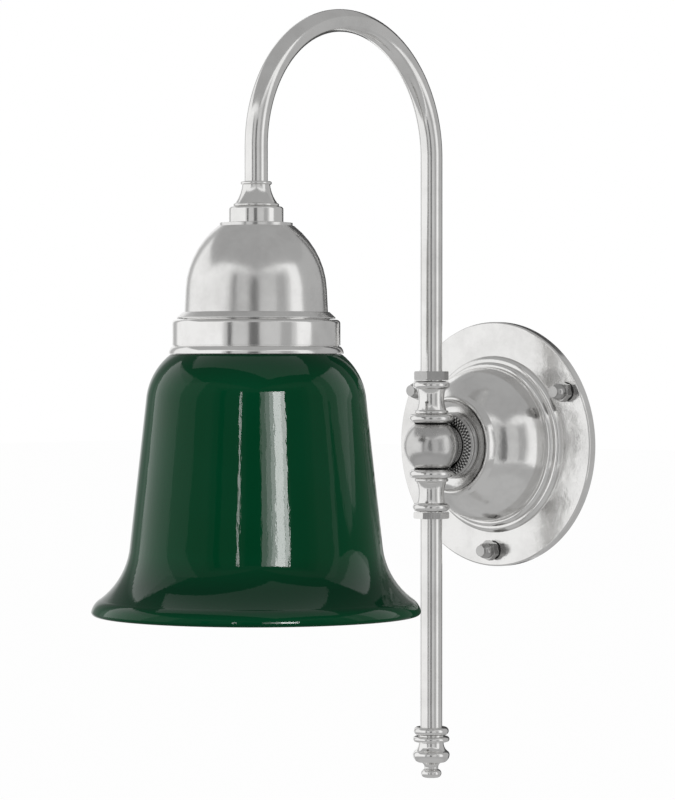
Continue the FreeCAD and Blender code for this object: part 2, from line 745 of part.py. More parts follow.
def collar(name):
    """A collar: a large bead, a small one, a waist and an end bead, with a seat for the tube."""
    bead_top = collar_base + size.bead_height
    fillet_top = bead_top + size.fillet_height
    waist_top = fillet_top + size.waist_height
    waist_end = size.end_bead_diameter / 2 - size.end_bead_height / 2
    return turned(name, [
        line(stem_fit_radius, collar_base), *bead(size.bead_diameter / 2, collar_base, bead_top),
        *bead(size.fillet_diameter / 2, bead_top, fillet_top),
        bow(waist_end, waist_top, -size.waist_depth),
        *bead(size.end_bead_diameter / 2, waist_top, collar_top)[1:],
        line(socket_radius, collar_top), line(socket_radius, size.tube_seat),
        line(stem_fit_radius, size.tube_seat)])


def collars_and_nuts():
    """The two collars, one the mirror of the other, and the lock nut beyond each."""
    on_stem_axis("upper_collar", collar("upper_collar_turned"))
    lower = collar("lower_collar_turned")
    lower.Placement.Rotation = Rotation(Vector(1, 0, 0), 180)
    on_stem_axis("lower_collar", lower)
    nut_low = collar_top + size.lock_nut_gap
    upper = hexagon_nut("upper_nut", size.lock_nut_flats, tube_radius + size.running_clearance,
                        nut_low, nut_low + size.upper_nut_height, size.upper_nut_turn)
    lower = hexagon_nut("lower_nut", size.lock_nut_flats, socket_radius,
                        -nut_low - size.lower_nut_height, -nut_low, size.lower_nut_turn)
    on_stem_axis("upper_lock_nut", upper)
    on_stem_axis("lower_lock_nut", lower)


def foot():
    """The straight tube below, its end cap and the turned finial."""
    tube = turned("lower_tube_turned", ring_of(
        tube_bore_radius, tube_radius, tube_foot, -size.tube_seat))
    on_stem_axis("lower_tube", tube)
    stud = size.foot_stud_diameter / 2
    stud_hole = stud + size.fit_clearance
    cap = turned("tube_end_cap_turned", [
        line(stud_hole, cap_foot), *bead(size.cap_diameter / 2, cap_foot, tube_foot),
        line(stem_radius, tube_foot), line(stem_radius, tube_foot + size.cap_plug),
        line(stud_hole, tube_foot + size.cap_plug)])
    on_stem_axis("tube_end_cap", cap)

    land = size.foot_land_diameter / 2
    pad_top = cap_foot - size.foot_land_height
    pad_foot = pad_top - size.pad_height
    throat = size.throat_diameter / 2
    throat_foot = pad_foot - size.throat_height
    shoulder = throat_foot - size.flare_height
    bulge = shoulder - size.bulge_upper_height
    tail = bulge - size.bulge_lower_height
    neck = size.neck_diameter / 2
    cove_foot = tail - size.neck_cove
    button_top = cove_foot - size.neck_height
    button_foot = button_top - size.button_height
    button_rounding = size.button_height / 2
    finial = turned("finial_turned", [
        line(0, button_foot), *bead(size.button_diameter / 2, button_foot, button_top),
        line(neck, button_top), line(neck, cove_foot),
        arc(neck + size.neck_cove, tail, -size.neck_cove), line(size.tail_diameter / 2, tail),
        bow(size.bulge_diameter / 2, bulge, size.bulge_lower_bow),
        bow(size.bulge_shoulder_diameter / 2, shoulder, size.bulge_upper_bow),
        bow(throat, throat_foot, -size.flare_hollow), line(throat, pad_foot),
        *bead(size.pad_diameter / 2, pad_foot, pad_top), line(land, pad_top),
        line(land, cap_foot), line(stud, cap_foot), line(stud, cap_foot + size.foot_stud_length),
        line(0, cap_foot + size.foot_stud_length)])
    on_stem_axis("finial", finial)


# ---------------------------------------------------------------- the gooseneck and the leads

def neck_route(low, end):
    """The line of the gooseneck: up, over in two quarter turns, and down to an end."""
    bend = size.neck_reach / 2
    crown = size.spring_height + bend
    return [line(0, low), line(0, size.spring_height), arc(-bend, crown, bend),
            arc(-size.neck_reach, size.spring_height, bend), line(-size.neck_reach, end)]


def gooseneck():
    """The bent tube, and the lead inside it from the ball to the lampholder."""
    tube = bent("gooseneck", neck_route(size.tube_seat, tube_end), size.tube_seat,
                tube_radius, tube_bore_radius)
    on_stem_axis("gooseneck_tube", tube)
    lead = bent("neck_lead_core", neck_route(-lead_radius, sleeve_top), -lead_radius, lead_radius)
    on_stem_axis("neck_lead", lead)


def canopy_lead():
    """The lead from the connector, round a bend and out through the back nipple to the ball."""
    block_face = -size.block_drop + size.block_height / 2
    run_height = size.plate_thickness + size.block_depth / 2
    bend = size.lead_bend
    tip = size.standoff - lead_radius - size.lead_gap
    route = [line(0, tip), line(0, run_height + bend), arc(-bend, run_height, -bend),
             line(block_face, run_height)]
    on_wall_axis("canopy_lead", bent("canopy_lead_core", route, tip, lead_radius))


# ---------------------------------------------------------------- the shade's carrier

def neck_cone():
    """The ferrule on the tube's end: a ring, a hollow flare and a bead."""
    ring = size.cone_ring_diameter / 2
    ring_foot = tube_end + size.cone_height - size.cone_ring_height
    bead_top = tube_end + size.cone_bead_height
    cone = turned("neck_cone_turned", [
        line(socket_radius, tube_end), *bead(size.cone_bead_diameter / 2, tube_end, bead_top),
        bow(ring - size.cone_ring_height / 2, ring_foot, -size.cone_hollow),
        *bead(ring, ring_foot, tube_end + size.cone_height)[1:],
        line(socket_radius, tube_end + size.cone_height)])
    on_shade_axis("neck_cone", cone)


def coupling():
    """The round coupling, the hollow thread through it and the nut under the dome."""
    radius = size.coupling_diameter / 2
    top_curve = size.coupling_rounding
    foot_curve = size.coupling_foot_rounding
    ring = turned("coupling_turned", [
        line(stem_fit_radius, dome_top), line(radius - foot_curve, dome_top),
        arc(radius, dome_top + foot_curve, foot_curve), line(radius, tube_end - top_curve),
        arc(radius - top_curve, tube_end, top_curve), line(stem_fit_radius, tube_end)])
    on_shade_axis("coupling_ring", ring)
    nipple = turned("drop_nipple_turned", ring_of(
        nipple_bore_radius, stem_radius, holder_top - size.holder_boss_height,
        tube_end + size.nipple_grip))
    on_shade_axis("drop_nipple", nipple)
    under_dome = dome_top - size.dome_wall
    nut = hexagon_nut("dome_nut", size.nipple_nut_flats, stem_fit_radius,
                      under_dome - size.dome_nut_height, under_dome)
    on_shade_axis("dome_nut", nut)


def shade_dome():
    """The domed cover: a ledge on top, a round shoulder, a skirt and a stepped flange."""
    wall = size.dome_wall
    flange = size.flange_diameter / 2
    skirt = size.skirt_diameter / 2
    skirt_upper = size.skirt_top_diameter / 2
    skirt_foot = dome_foot + size.flange_height
    skirt_top = skirt_foot + size.skirt_height
    shoulder = size.dome_top_diameter / 2
    ledge = size.ledge_diameter / 2
    ledge_foot = dome_top - size.ledge_height
    dome = turned("dome_turned", [
        line(skirt - wall, dome_foot), line(flange, dome_foot),
        line(flange, dome_foot + size.flange_edge), line(skirt + size.flange_step, skirt_foot),
        line(skirt, skirt_foot), line(skirt_upper, skirt_top),
        bow(shoulder, ledge_foot, size.dome_bulge), line(ledge, ledge_foot),
        line(ledge, dome_top), line(stem_fit_radius, dome_top),
        line(stem_fit_radius, dome_top - wall), line(ledge - wall, dome_top - wall),
        line(ledge - wall, ledge_foot - wall),
        bow(skirt_upper - wall, skirt_top, -size.dome_bulge)])
    on_shade_axis("shade_dome", dome)


def shade_collar():
    """The wide band round the glass's neck: a land under the dome, a groove and a lip."""
    wall = size.collar_wall
    radius = size.collar_diameter / 2
    hole = size.sleeve_diameter / 2 + size.sleeve_hole_gap
    land = size.land_diameter / 2
    shelf = dome_foot - size.land_height
    rounding = size.collar_rounding
    lip_top = collar_foot + size.lip_height
    groove_top = lip_top + size.groove_height
    band = turned("collar_turned", [
        line(radius - wall, collar_foot), line(size.lip_diameter / 2, collar_foot),
        bow(radius, lip_top, size.lip_bulge), line(radius - size.groove_depth, lip_top),
        line(radius - size.groove_depth, groove_top), line(radius, groove_top),
        line(radius, shelf - rounding), arc(radius - rounding, shelf, rounding),
        line(land, shelf), line(land, dome_foot), line(hole, dome_foot),
        line(hole, collar_ceiling), line(radius - wall, collar_ceiling)])
    on_shade_axis("shade_collar", band)


def glass_shade():
    """The glass bell: a crown inside the band, a round shoulder, a long side and a flared rim."""
    wall = size.glass_wall
    hole = size.glass_hole_diameter / 2
    crown = size.crown_diameter / 2
    rounding = size.crown_rounding
    start = size.shoulder_start_diameter / 2
    shoulder = size.shoulder_diameter / 2
    side = size.side_diameter / 2
    mouth = size.mouth_diameter / 2
    rim = size.rim_diameter / 2
    shoulder_foot = shoulder_top - size.shoulder_height
    side_foot = shoulder_foot - size.side_height
    mouth_foot = side_foot - size.mouth_height
    rim_foot = mouth_foot - size.rim_height_drop
    lip = wall / 2
    shade = turned("glass_turned", [
        arc(rim - lip, rim_foot - lip, lip), arc(rim, rim_foot, lip),
        bow(mouth, mouth_foot, size.rim_bulge), bow(side, side_foot, -size.mouth_hollow),
        line(shoulder, shoulder_foot), bow(start, shoulder_top, size.shoulder_bulge),
        line(crown, shoulder_top), line(crown, glass_top - rounding),
        arc(crown - rounding, glass_top, rounding), line(hole, glass_top),
        line(hole, glass_ceiling), line(crown - wall, glass_ceiling),
        line(crown - wall, shoulder_top - wall), line(start - wall, shoulder_top - wall),
        bow(shoulder - wall, shoulder_foot, -size.shoulder_bulge), line(side - wall, side_foot),
        bow(mouth - wall, mouth_foot, size.mouth_hollow),
        bow(rim - wall, rim_foot, -size.rim_bulge)])
    on_shade_axis("glass_shade", shade)
    gasket = turned("gasket_turned", ring_of(
        size.gasket_inner_diameter / 2, size.gasket_outer_diameter / 2, glass_top, collar_ceiling))
    on_shade_axis("shade_gasket", gasket)


# ---------------------------------------------------------------- the lampholder and the bulb

def lampholder():
    """The holder: a threaded sleeve with a shoulder, a cap, a ceramic insert, the live pieces."""
    wall = size.sleeve_wall
    sleeve = size.sleeve_diameter / 2
    body = size.sleeve_body_diameter / 2
    sleeve_bore = sleeve - wall
    turned_sleeve = turned("sleeve_turned", [
        line(sleeve_bore, sleeve_foot), line(sleeve, sleeve_foot), line(sleeve, dome_foot),
        line(size.sleeve_shoulder_diameter / 2, dome_foot),
        line(size.sleeve_shoulder_diameter / 2, shoulder_of_sleeve),
        line(body, shoulder_of_sleeve), line(body, sleeve_top), line(sleeve_bore, sleeve_top)])
    on_shade_axis("lampholder_sleeve", turned_sleeve)

    boss = size.holder_boss_diameter / 2
    boss_foot = holder_top - size.holder_boss_height
    cap = turned("holder_cap_turned", [
        bow(body - wall, sleeve_top, -size.holder_cap_bulge), line(body, sleeve_top),
        bow(boss, boss_foot, size.holder_cap_bulge), line(boss, holder_top),
        line(stem_fit_radius, holder_top), line(stem_fit_radius, boss_foot - wall)])
    on_shade_axis("lampholder_cap", cap)

    insert = cylinder("insert_body", sleeve_bore - size.insert_gap, insert_foot, sleeve_top)
    screws, holes = [], []
    for number, side in enumerate(SIDES):
        across = size.holder_screw_spacing / 2 * side
        radius = size.holder_screw_diameter / 2
        hole = cylinder(f"holder_hole_{number}", radius + size.fit_clearance, insert_foot,
                        sleeve_top)
        screw = cylinder(f"holder_screw_{number}", radius, insert_foot,
                         sleeve_top - size.holder_screw_sink)
        holes.append(move(hole, x=across))
        screws.append(move(screw, x=across))
    on_shade_axis("lampholder_insert", cut("insert_drilled", insert, holes))
    on_shade_axis("lampholder_screws", group("holder_screw_group", screws))

    shell = size.bulb_cap_diameter / 2 + size.running_clearance + size.shell_wall
    turned_shell = turned("shell_turned", ring_of(
        shell - size.shell_wall, shell, insert_foot - size.shell_length, insert_foot))
    on_shade_axis("screw_shell", turned_shell)
    half_width = size.contact_width / 2
    half_length = size.contact_length / 2
    strip = box("centre_strip", (-half_length, -half_width, insert_foot - size.contact_height),
                (half_length, half_width, insert_foot))
    on_shade_axis("centre_contact", strip)
    tab_side = shell + size.fit_clearance
    tab = box("side_tab", (tab_side, -half_width, insert_foot - size.side_contact_drop),
              (tab_side + size.contact_height, half_width, insert_foot))
    on_shade_axis("side_contact", tab)


def shade_ring():
    """The threaded ring on the sleeve that holds the glass up from inside."""
    top = glass_ceiling - size.seat_gap
    grip = size.shade_ring_grip_diameter / 2
    bore = size.sleeve_diameter / 2 + size.running_clearance
    flange_foot = top - size.shade_ring_flange
    foot_height = top - size.shade_ring_height
    ring = turned("shade_ring_turned", [
        line(bore, foot_height), line(grip, foot_height), line(grip, flange_foot),
        *bead(size.shade_ring_diameter / 2, flange_foot, top), line(bore, top)])
    on_shade_axis("shade_ring", ring)


def bulb():
    """The bulb: its glass, its screw cap and its contact."""
    neck = size.bulb_neck_diameter / 2
    wall = size.bulb_wall
    radius = size.bulb_diameter / 2
    inner = radius - wall
    foot_height = bulb_top - size.bulb_length
    equator = foot_height + radius
    lift = size.bulb_round_height
    taper_foot = equator + lift
    taper = (radius * radius - lift * lift).root()
    inner_taper = (inner * inner - lift * lift).root()
    neck_foot = bulb_cap_foot - size.bulb_neck_length
    hollow = size.bulb_taper_hollow
    glass = turned("bulb_glass_turned", [
        line(0, foot_height), arc(radius, equator, radius), arc(taper, taper_foot, radius),
        bow(neck, neck_foot, -hollow), line(neck, bulb_cap_foot), line(neck - wall, bulb_cap_foot),
        line(neck - wall, neck_foot), bow(inner_taper, taper_foot, hollow),
        arc(inner, equator, -inner), arc(0, foot_height + wall, -inner)])
    on_shade_axis("bulb_glass", glass)
    cap = cylinder("bulb_cap_body", size.bulb_cap_diameter / 2, bulb_cap_foot, bulb_cap_top)
    on_shade_axis("bulb_cap", cap)
    button = size.bulb_contact_diameter / 2
    rounding = size.bulb_contact_height / 2
    contact = turned("bulb_contact_turned", [
        line(0, bulb_cap_top), line(button, bulb_cap_top), line(button, bulb_top - rounding),
        arc(button - rounding, bulb_top, rounding), line(0, bulb_top)])
    on_shade_axis("bulb_contact", contact)


# ---------------------------------------------------------------- the whole lamp

BUILDERS = (
    canopy, canopy_fasteners, wall_plate, earth_screw, connector, back_nipple, knurled_ring,
    swivel_ball, swivel_stem, collars_and_nuts, foot, gooseneck, canopy_lead, neck_cone,
    coupling, shade_dome, shade_collar, glass_shade, lampholder, shade_ring, bulb)


def check_document():
    """Stop where any step of the model failed."""
    for each in doc.Objects:
        if "Invalid" in each.State or "Error" in each.State:
            raise RuntimeError(f"{each.Name} failed: {each.State}")
    for piece in nodes:
        if piece.Shape.isNull() or not piece.Shape.isValid() or not piece.Shape.Solids:
            raise RuntimeError(f"{piece.Label} has no valid solid")


def write_parts():
    """Write each piece to a file of its own."""
    os.makedirs("parts", exist_ok=True)
    for piece in nodes:
        piece.Shape.exportStep(f"parts/{piece.Label}.step")
        print(piece.Label, len(piece.Shape.Solids), round(piece.Shape.Volume, 1))


for build in BUILDERS:
    build()
doc.recompute()
check_document()
write_parts()
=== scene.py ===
"""The looks of a gooseneck wall sconce: polished nickel, cased green glass, a pale studio.

The lamp's sizes are in millimetres and the studio's in metres. Heights are counted from the
middle of the ball, or from the wall for what is turned about the wall's own axis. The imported
model gives the frame.
"""
import math

import bpy
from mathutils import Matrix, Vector


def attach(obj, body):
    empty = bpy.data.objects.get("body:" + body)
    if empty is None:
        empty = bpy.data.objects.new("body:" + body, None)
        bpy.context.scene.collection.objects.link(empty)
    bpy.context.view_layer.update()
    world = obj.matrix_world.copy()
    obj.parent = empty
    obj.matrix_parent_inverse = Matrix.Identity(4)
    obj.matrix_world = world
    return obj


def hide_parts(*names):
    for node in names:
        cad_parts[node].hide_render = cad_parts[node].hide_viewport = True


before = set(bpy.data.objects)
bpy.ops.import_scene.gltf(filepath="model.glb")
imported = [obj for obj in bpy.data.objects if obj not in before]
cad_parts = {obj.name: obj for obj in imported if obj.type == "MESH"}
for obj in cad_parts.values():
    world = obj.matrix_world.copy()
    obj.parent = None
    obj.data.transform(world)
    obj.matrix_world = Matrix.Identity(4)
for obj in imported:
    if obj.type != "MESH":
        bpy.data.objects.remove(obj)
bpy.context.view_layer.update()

MM = 0.001
SAME_PLACE = 1e-6      # in metres: vertices nearer than this are one
SHARP = math.radians(28)    # an edge that turns more than this has its sharpness taken off
SMOOTH = math.radians(40)   # an edge that turns less than this is shaded smooth
FLAT_WEIGHT = 90       # how far the large faces rule the shading

STANDOFF = 58.4        # from the wall to the middle of the stem
REACH = 140            # from the middle of the stem to the middle of the shade
SPRING_HEIGHT = 158    # where the tube starts to bend
TUBE_END = 126.6       # where the bent tube ends, on top of the coupling
TUBE_RADIUS = 6
TUBE_WALL = 1
TUBE_FIT = 6.05        # the bore of what sits on the tube
NIPPLE_FIT = 5.05      # the bore of what sits on the hollow thread
CAP_NUT_CIRCLE = 59.5  # how far the cap nuts stand from the canopy's middle
CAP_NUT_ANGLES = (-90, 30, 150)
LOCK_NUT_FLATS = 17
BALL_RADIUS = 15.2
BALL_FLAT = 12.4       # how far above and below the middle the ball is cut flat


# ---------------------------------------------------------------- turning and bending

class Axis:
    """A line that pieces are turned about: where it starts, the way up it and the way out."""

    def __init__(self, foot, up):
        self.foot = Vector(foot) * MM
        self.up = Vector(up)
        self.out = Vector((1, 0, 0))
        self.across = self.up.cross(self.out)

    def place(self, radius, height):
        """A point beside the axis, in metres."""
        return self.foot + (self.out * radius + self.up * height) * MM


WALL = Axis((0, 0, 0), (0, -1, 0))
STEM = Axis((0, -STANDOFF, 0), (0, 0, 1))
SHADE = Axis((0, -STANDOFF - REACH, 0), (0, 0, 1))


def line(radius, height):
    """A straight step of an outline."""
    return radius, height, None, 0


def arc(radius, height, curve):
    """A round step with this radius of its own: minus makes it a hollow."""
    return radius, height, "radius", curve


def bow(radius, height, rise):
    """A round step that stands this far off the straight line: minus makes it a hollow."""
    return radius, height, "rise", rise


def bead(outer, low, high):
    """A half round edge between two heights."""
    curve = (high - low) / 2
    return [line(outer - curve, low), arc(outer, low + curve, curve),
            arc(outer - curve, high, curve)]


def round_step(start, end):
    """The middle and the turn of a round step."""
    radius, height, word, amount = end
    across, along = radius - start[0], height - start[1]
    chord = math.hypot(across, along)
    size = abs(amount)
    curve = size if word == "radius" else chord * chord / (8 * size) + size / 2
    stand_off = math.sqrt(max(curve * curve - chord * chord / 4, 0))
    way = 1 if amount > 0 else -1
    middle = ((start[0] + radius) / 2 - along / chord * stand_off * way,
              (start[1] + height) / 2 + across / chord * stand_off * way)
    turn = 2 * math.asin(min(chord / 2 / curve, 1)) * way
    return middle, turn


def fresh(name):
    """One vertex at the origin, in edit mode, as the start of a new piece."""
    bpy.ops.object.select_all(action="DESELECT")
    bpy.ops.mesh.primitive_plane_add(size=MM)
    piece = bpy.context.object
    piece.name = name
    piece.data.name = name
    bpy.ops.object.mode_set(mode="EDIT")
    bpy.ops.mesh.select_all(action="SELECT")
    bpy.ops.mesh.merge(type="CENTER")
    return piece


def close_up():
    """Merge what meets, point the faces outwards and leave edit mode."""
    bpy.ops.mesh.select_all(action="SELECT")
    bpy.ops.mesh.remove_doubles(threshold=SAME_PLACE)
    bpy.ops.mesh.normals_make_consistent(inside=False)
    bpy.ops.object.mode_set(mode="OBJECT")


def pick(piece):
    """Select this piece alone."""
    bpy.ops.object.select_all(action="DESELECT")
    bpy.context.view_layer.objects.active = piece
    piece.select_set(True)


def finish_with(piece, kind, **settings):
    """Put a modifier on a piece and apply it."""
    pick(piece)
    modifier = piece.modifiers.new(kind.title(), kind)
    for word, value in settings.items():
        setattr(modifier, word, value)
    bpy.ops.object.modifier_apply(modifier=modifier.name)


def soften(piece, edge):
    """Take the sharpness off the edges, shade the rest smooth and keep flat walls flat."""
    if edge:
        finish_with(piece, "BEVEL", width=edge * MM, segments=2, limit_method="ANGLE",
                    angle_limit=SHARP)
    pick(piece)
    bpy.ops.object.shade_smooth_by_angle(angle=SMOOTH)
    finish_with(piece, "WEIGHTED_NORMAL", keep_sharp=True, weight=FLAT_WEIGHT)


def turned(name, axis, outline, rounds=128, edge=0.15, arc_step=7.5):
    """A piece turned from half an outline beside its axis."""
    piece = fresh(name)
    bpy.ops.transform.translate(value=axis.place(*outline[0][:2]))
    for start, end in zip(outline, outline[1:] + outline[:1]):
        if start[0] == 0 and end[0] == 0:
            continue
        if end[2] is None:
            step = axis.place(end[0], end[1]) - axis.place(start[0], start[1])
            bpy.ops.mesh.extrude_vertices_move(TRANSFORM_OT_translate={"value": step})
        else:
            middle, turn = round_step(start, end)
            bpy.ops.mesh.spin(steps=max(2, math.ceil(abs(math.degrees(turn)) / arc_step)),
                              angle=turn, center=axis.place(*middle), axis=axis.across)
    bpy.ops.mesh.select_all(action="SELECT")
    bpy.ops.mesh.remove_doubles(threshold=SAME_PLACE)
    bpy.ops.mesh.spin(steps=rounds, angle=2 * math.pi, center=axis.foot, axis=axis.up)
    close_up()
    soften(piece, edge)
    return piece


def bent_tube(name, axis, low, spring, reach, end, radius, wall):
    """A tube that rises beside its axis, turns half round towards the front and comes down."""
    bpy.ops.object.select_all(action="DESELECT")
    bpy.ops.mesh.primitive_circle_add(vertices=72, radius=radius * MM,
                                      location=axis.place(0, low))
    piece = bpy.context.object
    piece.name = name
    bpy.ops.object.mode_set(mode="EDIT")
    bpy.ops.mesh.select_all(action="SELECT")
    bpy.ops.mesh.extrude_region_move(
        TRANSFORM_OT_translate={"value": (0, 0, (spring - low) * MM)})
    middle = axis.place(0, spring) - Vector((0, reach / 2 * MM, 0))
    bpy.ops.mesh.spin(steps=120, angle=-math.pi, center=middle, axis=(1, 0, 0))
    bpy.ops.mesh.extrude_region_move(
        TRANSFORM_OT_translate={"value": (0, 0, (end - spring) * MM)})
    close_up()
    bpy.ops.object.transform_apply(location=True, rotation=True, scale=True)
    finish_with(piece, "SOLIDIFY", thickness=wall * MM, offset=-1)
    soften(piece, 0)
    return piece


def corner_radius(across_flats):
    """How far a hexagon's corners are from its middle."""
    return across_flats / 2 / math.cos(math.radians(30))


def hexagon_cut(piece, axis, across_flats, low, high, corner_at):
    """Cut six flats on a turned blank."""
    bpy.ops.object.select_all(action="DESELECT")
    bpy.ops.mesh.primitive_cylinder_add(
        vertices=6, radius=corner_radius(across_flats) * MM, depth=(high - low) * MM,
        location=axis.place(0, (high + low) / 2))
    cutter = bpy.context.object
    cutter.rotation_euler = axis.up.to_track_quat("Z", "Y").to_euler()
    cutter.rotation_euler.rotate_axis("Z", math.radians(corner_at))
    bpy.ops.object.transform_apply(location=True, rotation=True, scale=True)
    finish_with(piece, "BOOLEAN", operation="INTERSECT", solver="EXACT", object=cutter)
    bpy.data.objects.remove(cutter)


# ---------------------------------------------------------------- finishes

class Value:
    """A socket of a material, so that sums on it are written as plain Python."""

    def __init__(self, paint, socket):
        self.paint = paint
        self.socket = socket

    def _sum(self, word, first, second):
        return self.paint.node("ShaderNodeMath", {"operation": word}, [first, second])

    def __add__(self, other):
        return self._sum("ADD", self, other)

    __radd__ = __add__

    def __sub__(self, other):
        return self._sum("SUBTRACT", self, other)

    def __rsub__(self, other):
        return self._sum("SUBTRACT", other, self)

    def __mul__(self, other):
        return self._sum("MULTIPLY", self, other)

    __rmul__ = __mul__


class Paint:
    """A material, built from nodes."""

    def __init__(self, name):
        self.material = bpy.data.materials.new(name)
        self.material.use_nodes = True
        self.nodes = self.material.node_tree.nodes
        self.links = self.material.node_tree.links
        self.shader = self.nodes["Principled BSDF"]

    def node(self, kind, settings=None, inputs=(), output=0):
        """Any node: its settings first, then its sockets, by name or in their order."""
        made = self.nodes.new(kind)
        for word, value in (settings or {}).items():
            setattr(made, word, value)
        pairs = inputs.items() if isinstance(inputs, dict) else enumerate(inputs)
        for place, value in pairs:
            self.feed(made.inputs[place], value)
        return Value(self, made.outputs[output])

    def feed(self, socket, value):
        """Link a value to a socket, or set it there."""
        if isinstance(value, Value):
            self.links.new(value.socket, socket)
        else:
            socket.default_value = value

    def set(self, **sockets):
        """Feed the shader's own sockets, as base_color=... for Base Color."""
        for word, value in sockets.items():
            label = " ".join(part.capitalize() for part in word.split("_"))
            label = label.replace("Ior", "IOR")
            self.feed(self.shader.inputs[label], value)

    def place(self, stretch=(1, 1, 1)):
        """Object coordinates, stretched along each axis."""
        here = self.node("ShaderNodeTexCoord", output=3)
        return self.node("ShaderNodeMapping", None, {"Vector": here, "Scale": stretch})

    def noise(self, scale, detail=2.0, rough=0.5, stretch=(1, 1, 1)):
        """Cloudy noise between nought and one."""
        return self.node("ShaderNodeTexNoise", None, {
            "Vector": self.place(stretch), "Scale": scale, "Detail": detail,
            "Roughness": rough})

    def spread(self, value, low, high):
        """Nought up to the low value, one from the high value on, and a slope between them."""
        return self.node("ShaderNodeMapRange", {"clamp": True}, {
            "Value": value, "From Min": low, "From Max": high})

    def blend(self, share, first, second):
        """A colour between two."""
        return self.node("ShaderNodeMix", {"data_type": "RGBA"}, {
            0: share, 6: first, 7: second}, output=2)

    def bump(self, height, distance):
        """Raise the surface by a height between nought and one, over a distance in metres."""
        return self.node("ShaderNodeBump", None, {
            "Strength": 1.0, "Distance": distance, "Height": height})


def nickel(name, streaks, rough=0.12, waves=0.0003, tone=1.0):
    """Hand polished nickel: soft waves, smudges, fine streaks and a few pits."""
    paint = Paint(name)
    wave = paint.noise(48)
    smudge = paint.spread(paint.noise(42, 4.0, 0.65), 0.42, 0.72)
    grain = paint.noise(380, 3.0, 0.6, streaks)
    pits = paint.spread(paint.noise(1400, 1.0), 0.68, 0.8)
    # tone below one darkens the whole colour; the ball, the nuts and the knurled ring use it
    # as painted shade
    bright = tuple(c * tone for c in (0.84, 0.835, 0.825)) + (1,)
    dull = tuple(c * tone for c in (0.73, 0.725, 0.715)) + (1,)
    paint.set(
        base_color=paint.blend(smudge, bright, dull), metallic=1.0,
        roughness=rough + smudge * (rough * 0.5) + grain * 0.08,
        normal=paint.bump(wave + grain * 0.1 - pits * 0.04, waves))
    return paint.material


def cased_glass():
    """The deep green skin of the shade, glossy, with painted shade that darkens it at the
    crown and in the flare.
    """
    paint = Paint("cased green glass")
    height = paint.node("ShaderNodeSeparateXYZ", None,
                        [paint.node("ShaderNodeTexCoord", output=3)], output=2)
    crown = paint.spread(height, 0.034, 0.047)
    flare = paint.spread(height, -0.052, -0.068)
    rim = paint.spread(height, -0.077, -0.081)
    depth = paint.noise(22)
    ripple = paint.noise(30, 1.0, 0.4, (1, 1, 0.35))
    fine = paint.noise(650, 2.0, 0.5, (1, 1, 0.12))
    # dark is painted shade, blended in at the crown below the band and in the flare, and left
    # off at the lip
    dark = (0.001, 0.022, 0.009, 1)
    green = paint.blend(depth, (0.0003, 0.036, 0.0115, 1), (0.0006, 0.047, 0.0185, 1))
    paint.set(
        base_color=paint.blend(crown * 0.8 + flare * (1 - rim), green, dark),
        roughness=0.04, ior=1.5, specular_ior_level=0.06,
        normal=paint.bump(ripple + fine * 0.07, 0.0003))
    return paint.material


def opal(name, colour, roughness, gloss):
    """White glass that hides what is behind it."""
    paint = Paint(name)
    cloud = paint.noise(60)
    paint.set(
        base_color=paint.blend(cloud, colour, tuple(c * 0.96 for c in colour[:3]) + (1,)),
        roughness=roughness, ior=1.5, specular_ior_level=gloss,
        normal=paint.bump(paint.noise(90, 1.0), 0.00005))
    return paint.material


def plain(name, colour, roughness, metallic=0.0, grain=600, depth=0.00003, change=0.12):
    """A finish of one colour with a little grain and wear."""
    paint = Paint(name)
    cloud = paint.noise(45, 3.0, 0.6)
    fine = paint.noise(grain)
    darker = tuple(c * (1 - change * 2) for c in colour[:3]) + (1,)
    paint.set(
        base_color=paint.blend(paint.spread(cloud, 0.35, 0.75), colour, darker),
        roughness=roughness + fine * 0.12, metallic=metallic,
        normal=paint.bump(fine, depth))
    return paint.material


NICKEL = nickel("polished nickel", (1, 1, 0.06), 0.09, 0.00012)
NICKEL_DOME = nickel("polished nickel of the dome", (1, 1, 0.05), 0.14, 0.00016, 0.97)
# the ball's nickel is darkened to three quarters as painted shade
NICKEL_BALL = nickel("polished nickel of the ball", (0.3, 1, 1), 0.17, 0.0007, 0.76)
NICKEL_WALL = nickel("polished nickel of the canopy", (1, 0.2, 1), 0.11, 0.00045)
# a darker copy of the nickel, at six tenths, is painted shade for the cap nuts, the upper lock
# nut and the knurled ring's body
NICKEL_PAINTED_SHADE = nickel("nickel darkened as painted shade for nuts and knurl", (1, 1, 0.3), 0.14, 0.0002, 0.6)
# near black in the knurl's grooves is painted shade between the knobs
NICKEL_GROOVE_SHADE = plain("painted shade in the knurl grooves", (0.1, 0.1, 0.1, 1), 0.4, 1.0)
GREEN_GLASS = cased_glass()
WHITE_LINING = opal("white lining of the shade", (0.88, 0.89, 0.84, 1), 0.12, 0.06)
BULB_GLASS = opal("frosted bulb glass", (0.9, 0.89, 0.85, 1), 0.3, 0.4)
ZINC = plain("zinc plated steel", (0.55, 0.57, 0.59, 1), 0.32, 1.0)
BRASS = plain("plain brass", (0.72, 0.52, 0.24, 1), 0.24, 1.0)
FIBRE = plain("dark fibre", (0.012, 0.012, 0.012, 1), 0.7)
CERAMIC = plain("glazed ceramic", (0.85, 0.83, 0.78, 1), 0.12, 0.0, 300, 0.00002, 0.03)
PLASTIC = plain("connector plastic", (0.82, 0.8, 0.72, 1), 0.45, 0.0, 900, 0.00002, 0.04)
SHEATH = plain("lead sheath", (0.02, 0.02, 0.022, 1), 0.5)
CAP_METAL = plain("bulb cap metal", (0.75, 0.75, 0.73, 1), 0.25, 1.0)


